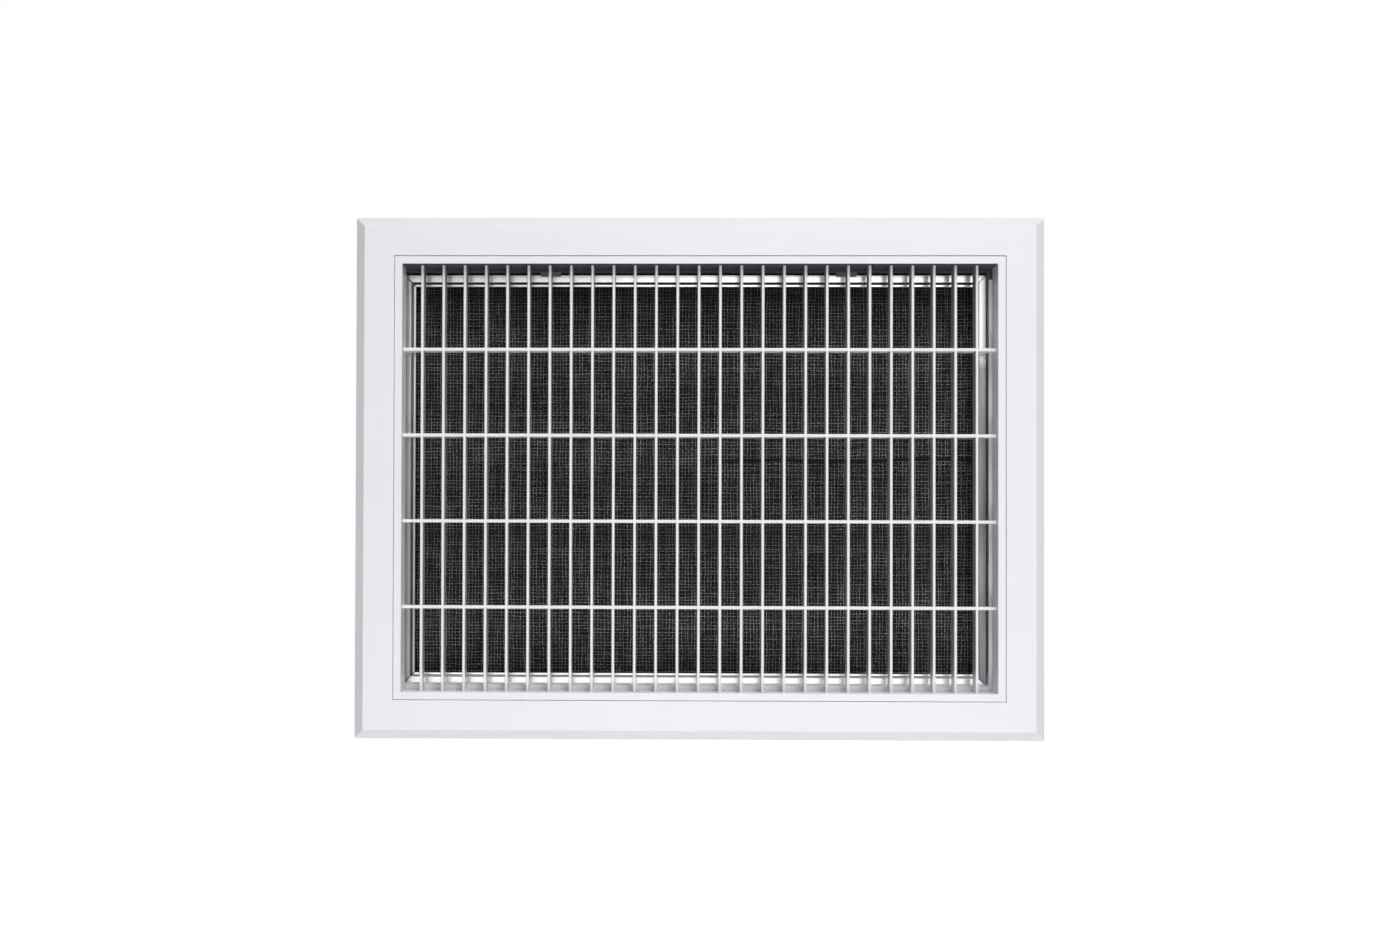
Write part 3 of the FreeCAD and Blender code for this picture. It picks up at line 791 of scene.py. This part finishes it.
def make_net_shade_and_lint():
    """Masks for painted shade on the net and for the specks of lint on it."""
    tree, given, results = finish_group(
        "Net Shade And Lint",
        {"Crease Height mm": 12.2, "Crease From mm": 8.0, "Bar Shadow Height mm": -33.0,
         "Rail Shadow Edge mm": 104.0, "Speck Size mm": 0.9},
        ("Painted Shade", "Specks"))
    place = object_place(tree)
    parts = axes(tree, place)
    across = times(tree, parts["X"], MM_PER_METRE)
    height = times(tree, parts["Z"], MM_PER_METRE)
    sway = minus(tree, noise(tree, place, SWAY_SCALE, detail=1.0), 0.5)
    swaying = plus(tree, height, times(tree, sway, SWAY_MM))

    def band(middle, half, soft):
        return remap(tree, distance_from(tree, swaying, middle), half, half + soft,
                     at_low=1.0, at_high=0.0)

    past_start = minus(tree, across, given["Crease From mm"])
    # Painted shade along the crease.
    crease_shade = times(tree, band(given["Crease Height mm"], half=0.7, soft=0.9),
                   remap(tree, past_start, 0.0, CREASE_START_MM))
    # Painted shadow of the crossbar above, a soft band below it.
    bar_shadow = times(tree, band(given["Bar Shadow Height mm"], half=3.0, soft=6.0),
                   BAR_SHADOW_SHARE)
    # Painted shadow of the upper rail along the net's upper strip.
    over_edge = minus(tree, height, given["Rail Shadow Edge mm"])
    rail_shadow = remap(tree, over_edge, 0.0, RAIL_SHADOW_FADE_MM, at_high=RAIL_SHADOW_SHARE)
    marks = math_node(tree, "MAXIMUM", crease_shade, bar_shadow)
    join(tree, math_node(tree, "MAXIMUM", marks, rail_shadow), results["Painted Shade"])

    cells = random_cells(tree, place, given["Speck Size mm"])
    patches = noise(tree, place, LINT_PATCH_SCALE, detail=3.0)
    specks = times(tree, remap(tree, cells, low=0.90, high=0.92),
                   remap(tree, patches, low=0.63, high=0.70))
    join(tree, specks, results["Specks"])
    return tree


net_shade_and_lint = make_net_shade_and_lint()
print("group:", net_shade_and_lint.name)

# %% [markdown]
# ## Thread, and a backing of painted shade
#
# The threads are dark grey plastic, a little shiny where they bend over each other.
# Each has a tone of its own, in streaks along its length, where a film of lint makes it
# paler. The painted shade goes over that: first the crease shade, the crossbar's
# painted shadow and the rail's painted shadow, then the specks of lint.
#
# Behind the weave the duct lies in shade, and nearly no light comes back through the
# holes.
# A thin black sheet in the middle of the weave paints that shade, the same from both
# sides, whatever stands behind the grille.

# %% Thread materials, and the painted shade backing
# Painted shade on the net: along the crease, under a crossbar and along the upper rail.
NET_SHADE_COLOUR = (0.012, 0.011, 0.010, 1.0)
LINT = (0.55, 0.53, 0.50, 1.0)
# Painted shade: the backing stands in for the shaded duct behind the weave.
SHADE_BACKING_DEEP = (0.005, 0.005, 0.005, 1.0)
SHADE_BACKING_PALE = (0.014, 0.013, 0.013, 1.0)
BACKING_ROUGHNESS, BACKING_SPECULAR = 0.95, 0.1
THREAD_ROUGHNESS = (0.42, 0.62)
STREAK_SCALE = 420.0


def thread_plastic(name, dark, pale, stretch):
    """Dark plastic thread in streaks of its own tones, with a paler film of lint."""
    material, tree, shader = new_material(name)
    grain = place_group(tree, moulded_grain, Grain_Size_mm=0.8, Wave_Size_mm=34.0)
    streaks = put(tree, "ShaderNodeMapping", {"Scale": stretch})
    join(tree, object_place(tree), streaks.inputs["Vector"])
    cloudy = noise(tree, streaks.outputs[0], STREAK_SCALE, detail=2.0)
    tone = remap(tree, cloudy, low=0.30, high=0.68)
    linty = mix_colour(tree, times(tree, tone, grain["Height"]), dark, pale)
    wear_and_shade = place_group(tree, net_shade_and_lint)
    # The painted shade goes on first, then the specks of lint.
    toned = mix_colour(tree, wear_and_shade["Painted Shade"], linty, NET_SHADE_COLOUR)
    join(tree, mix_colour(tree, wear_and_shade["Specks"], toned, LINT),
         shader.inputs["Base Color"])
    join(tree, mix_number(tree, grain["Mottle"], *THREAD_ROUGHNESS),
         shader.inputs["Roughness"])
    add_bump(tree, shader, grain["Height"], depth_mm=0.05, strength=0.3)
    return material


def shade_backing():
    """Painted shade: the darkness of the shaded duct behind the weave."""
    material, tree, shader = new_material("net_shade_backing")
    grain = place_group(tree, moulded_grain, Grain_Size_mm=0.8, Wave_Size_mm=30.0)
    join(tree, mix_colour(tree, grain["Height"], SHADE_BACKING_DEEP, SHADE_BACKING_PALE),
         shader.inputs["Base Color"])
    shader.inputs["Roughness"].default_value = BACKING_ROUGHNESS
    shader.inputs["Specular IOR Level"].default_value = BACKING_SPECULAR
    return material


warp_plastic = thread_plastic(
    "warp_plastic", dark=(0.040, 0.037, 0.037, 1.0), pale=(0.60, 0.565, 0.555, 1.0),
    stretch=(1.0, 1.0, 0.12))
weft_plastic = thread_plastic(
    "weft_plastic", dark=(0.034, 0.031, 0.032, 1.0), pale=(0.54, 0.505, 0.50, 1.0),
    stretch=(0.12, 1.0, 1.0))
net_shade_backing = shade_backing()
print("materials:", warp_plastic.name, weft_plastic.name, net_shade_backing.name)

# %% [markdown]
# ## Weaving it
#
# The net fills the same space as its solid. The thread count follows from the solid's
# size and the pitch, so a larger filter would simply get more threads. The upright
# threads are the warp. The level ones, the weft, are the same tree laid on its side,
# with the first thread on the other side of the weave.

# %% Weave the net
THREAD_PITCH = 1.95 * MM
THREAD_RADIUS = 0.25 * MM
WEAVE_DEPTH = 0.24 * MM
THREAD_DRIFT = 0.34 * MM
WARP_SEED, WEFT_SEED = 3.0, 8.0

net_low, net_high = (Vector(corner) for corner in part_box("filter_net"))
net_middle = (net_low + net_high) / 2
net_size = net_high - net_low
warp_count, weft_count = (int((extent - THREAD_PITCH) / THREAD_PITCH) + 1
                          for extent in (net_size.x, net_size.z))
at_net = Matrix.Translation(net_middle)
on_side = Matrix.Rotation(math.radians(90), 4, "Y")


def thread_values(threads, crossings, first_side, material, seed):
    """The tree's inputs for one set of threads."""
    return {"Threads": threads, "Crossings": crossings, "Thread Pitch": THREAD_PITCH,
            "Crossing Pitch": THREAD_PITCH, "Thread Radius": THREAD_RADIUS,
            "Weave Depth": WEAVE_DEPTH, "First Side": first_side,
            "Drift": THREAD_DRIFT, "Seed": seed, "Material": material}


warp = grow("net_warp", woven_threads,
            thread_values(warp_count, weft_count, 0, warp_plastic, WARP_SEED), at_net)
weft = grow("net_weft", woven_threads,
            thread_values(weft_count, warp_count, 1, weft_plastic, WEFT_SEED),
            at_net @ on_side)
for threads in (warp, weft):
    closed_sides_out(threads.data)
    print(threads.name, len(threads.data.polygons) * 2, "triangles")

# %% [markdown]
# ## The painted shade sheet inside the weave
#
# It is a closed slab a tenth of a millimetre thick, with its sides in the rails, where
# the net's own edge is folded over.

# %% Painted shade sheet
SHEET_THICKNESS = 0.1 * MM
SHEET_INSET = 0.2 * MM


def slab(name, low, high, material):
    """A closed box between two corners."""
    corners = [(x, y, z) for x in (low.x, high.x) for y in (low.y, high.y)
               for z in (low.z, high.z)]
    sides = [(0, 1, 3, 2), (4, 6, 7, 5), (0, 4, 5, 1),
             (2, 3, 7, 6), (0, 2, 6, 4), (1, 5, 7, 3)]
    mesh = bpy.data.meshes.new(name)
    mesh.from_pydata(corners, [], sides)
    mesh.materials.append(material)
    closed_sides_out(mesh)
    made = bpy.data.objects.new(name, mesh)
    scene.collection.objects.link(made)
    return made


to_corner = Vector((-SHEET_INSET, SHEET_THICKNESS / 2, -SHEET_INSET))
sheet_low = Vector((net_low.x, net_middle.y, net_low.z)) - to_corner
sheet_high = Vector((net_high.x, net_middle.y, net_high.z)) + to_corner
# A sheet of painted shade stands in for the dark duct behind the weave.
shade_sheet = slab("net_shade_sheet", sheet_low, sheet_high, net_shade_backing)

for piece in (warp, weft, shade_sheet):
    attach(piece, "surround")
    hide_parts("filter_net")
print("net:", warp_count, "by", weft_count, "threads")

# %% [markdown]
# ## Light
#
# The grille was lit by broad soft light from the front, most of it from above and a
# little from the right: the right bevel is brighter than the left one, and the
# underside of the tunnel's roof is dark. Each lamp below is a soft box that is aimed at
# the middle of the grille, given by how far round and how high it stands.
#
# Two high lamps give most of the light. Two more stand close, one overhead and one
# below, and because they are near and narrow, the sides of the surround come out a
# little dimmer than its middle. A slim one in front is there for the upper rail, which
# mirrors it, and a low one fills the lower bevel and the undersides a little. The last
# stands behind, for those who look at the back.

# %% Lamps
def soft_box(name, round_deg, up_deg, distance, size, watts):
    """An area lamp aimed at the origin. Round 0 is in front, positive to the right."""
    lamp = bpy.data.lights.new(name, "AREA")
    lamp.shape = "RECTANGLE"
    lamp.size, lamp.size_y = size
    lamp.energy = watts
    stand = bpy.data.objects.new(name, lamp)
    turn, lift = math.radians(round_deg), math.radians(up_deg)
    away = Vector((math.sin(turn) * math.cos(lift), -math.cos(turn) * math.cos(lift),
                   math.sin(lift)))
    stand.location = away * distance
    stand.rotation_mode = "QUATERNION"
    stand.rotation_quaternion = away.to_track_quat("Z", "Y")
    scene.collection.objects.link(stand)


# Per lamp: name, degrees round, degrees up, distance, width and height, and watts.
LAMPS = [
    ("high_key", 22, 36, 2.0, (1.2, 0.6), 12.3),
    ("top", 8, 55, 2.0, (1.5, 0.8), 11.2),
    ("overhead", 4, 70, 1.3, (0.9, 0.6), 3.7),
    ("front", 9, 10, 2.0, (0.8, 0.35), 1.4),
    ("low", 4, -12, 1.9, (1.6, 0.5), 2.5),
    ("under", 2, -38, 0.95, (0.8, 0.4), 3.3),
    ("back", 160, 42, 2.2, (1.4, 1.0), 16.0),
]
for lamp_values in LAMPS:
    soft_box(*lamp_values)
print("lamps:", ", ".join(values[0] for values in LAMPS))

# %% [markdown]
# ## White room
#
# To the camera, and in every reflection, the room is plain white. For the light that it
# sheds it is much dimmer, so that the object keeps its shading. The Standard view
# transform shows colours as they are written, with no film look laid over them.

# %% World
ROOM_LIGHT = 0.06
WHITE = (1.0, 1.0, 1.0, 1.0)


def seen_directly(tree):
    """A mask for what the camera sees, also in a mirror or through glass."""
    rays = put(tree, "ShaderNodeLightPath").outputs
    seen = math_node(tree, "MAXIMUM", rays["Is Camera Ray"], rays["Is Glossy Ray"])
    return math_node(tree, "MAXIMUM", seen, rays["Is Transmission Ray"])


def white_room(ambient):
    """A world that looks white but lights softly."""
    world = bpy.data.worlds.new("white_room")
    world.use_nodes = True
    tree = world.node_tree
    shown = tree.nodes["Background"]
    shown.inputs["Color"].default_value = WHITE
    join(tree, mix_number(tree, seen_directly(tree), ambient, 1.0),
         shown.inputs["Strength"])
    scene.world = world


white_room(ROOM_LIGHT)
scene.view_settings.view_transform = "Standard"
print("room light:", ROOM_LIGHT)

# %% [markdown]
# ## Floor
#
# The floor lies well below the grille, as below a grille that hangs on a wall. It shows
# nearly white to the camera, but it keeps a share of its own shading, and with it the
# shadow.

# %% Floor
FLOOR_HEIGHT = -0.75
FLOOR_HALF_SIZE = 1.9
FLOOR_GLOW_SHARE = 0.85
FLOOR_COLOUR = (0.9, 0.9, 0.9, 1.0)
FLOOR_ROUGHNESS = 0.9


def pale_floor(height, half_size):
    """A floor that the camera sees as nearly white, with soft shadows."""
    mesh = bpy.data.meshes.new("floor")
    mesh.from_pydata([(-half_size, -half_size, height), (half_size, -half_size, height),
                      (half_size, half_size, height), (-half_size, half_size, height)],
                     [], [(0, 1, 2, 3)])
    made = bpy.data.objects.new("floor", mesh)
    scene.collection.objects.link(made)
    material, tree, shader = new_material("pale_floor")
    shader.inputs["Base Color"].default_value = FLOOR_COLOUR
    shader.inputs["Roughness"].default_value = FLOOR_ROUGHNESS
    glow = put(tree, "ShaderNodeEmission", {"Color": WHITE, "Strength": 1.0})
    blend = put(tree, "ShaderNodeMixShader")
    join(tree, times(tree, seen_directly(tree), FLOOR_GLOW_SHARE), blend.inputs[0])
    join(tree, shader.outputs[0], blend.inputs[1])
    join(tree, glow.outputs[0], blend.inputs[2])
    join(tree, blend.outputs[0], tree.nodes["Material Output"].inputs["Surface"])
    mesh.materials.append(material)
    return made


pale_floor(FLOOR_HEIGHT, FLOOR_HALF_SIZE)
print("floor at", FLOOR_HEIGHT, "m")

# %% [markdown]
# ## Camera
#
# The photograph was taken from about a metre, a little left of the middle and lower
# than it: the undersides of the upper bars show, and the upper side of the lowest one.
# Where the fins, bars and corners fall in the picture gives the camera's turn and its
# focal length. The fit also puts the lens's axis off the picture's middle, as in a
# cropped picture, and the camera's shift repeats that.

# %% Camera
PICTURE_WIDTH = 1400
FOCAL_PIXELS = 1720.2
SHIFT_PIXELS = (75.5, 60.9)
SENSOR_WIDTH = 36.0
CAMERA_PLACE = (-0.028, -1.008, -0.045)
TURN, TILT, ROLL = (math.radians(angle) for angle in (-0.875, 0.756, 0.159))

camera_data = bpy.data.cameras.new("camera")
camera_data.sensor_width = SENSOR_WIDTH
camera_data.lens = FOCAL_PIXELS / PICTURE_WIDTH * SENSOR_WIDTH
camera_data.shift_x = SHIFT_PIXELS[0] / PICTURE_WIDTH
camera_data.shift_y = SHIFT_PIXELS[1] / PICTURE_WIDTH
camera_data.clip_start = 0.05
camera = bpy.data.objects.new("camera", camera_data)
scene.collection.objects.link(camera)
camera.matrix_world = (
    Matrix.Translation(CAMERA_PLACE)
    @ Matrix.Rotation(-TURN, 4, "Z")
    @ Matrix.Rotation(math.radians(90) + TILT, 4, "X")
    @ Matrix.Rotation(ROLL, 4, "Z"))
scene.camera = camera
print("lens: %.1f mm" % camera_data.lens)
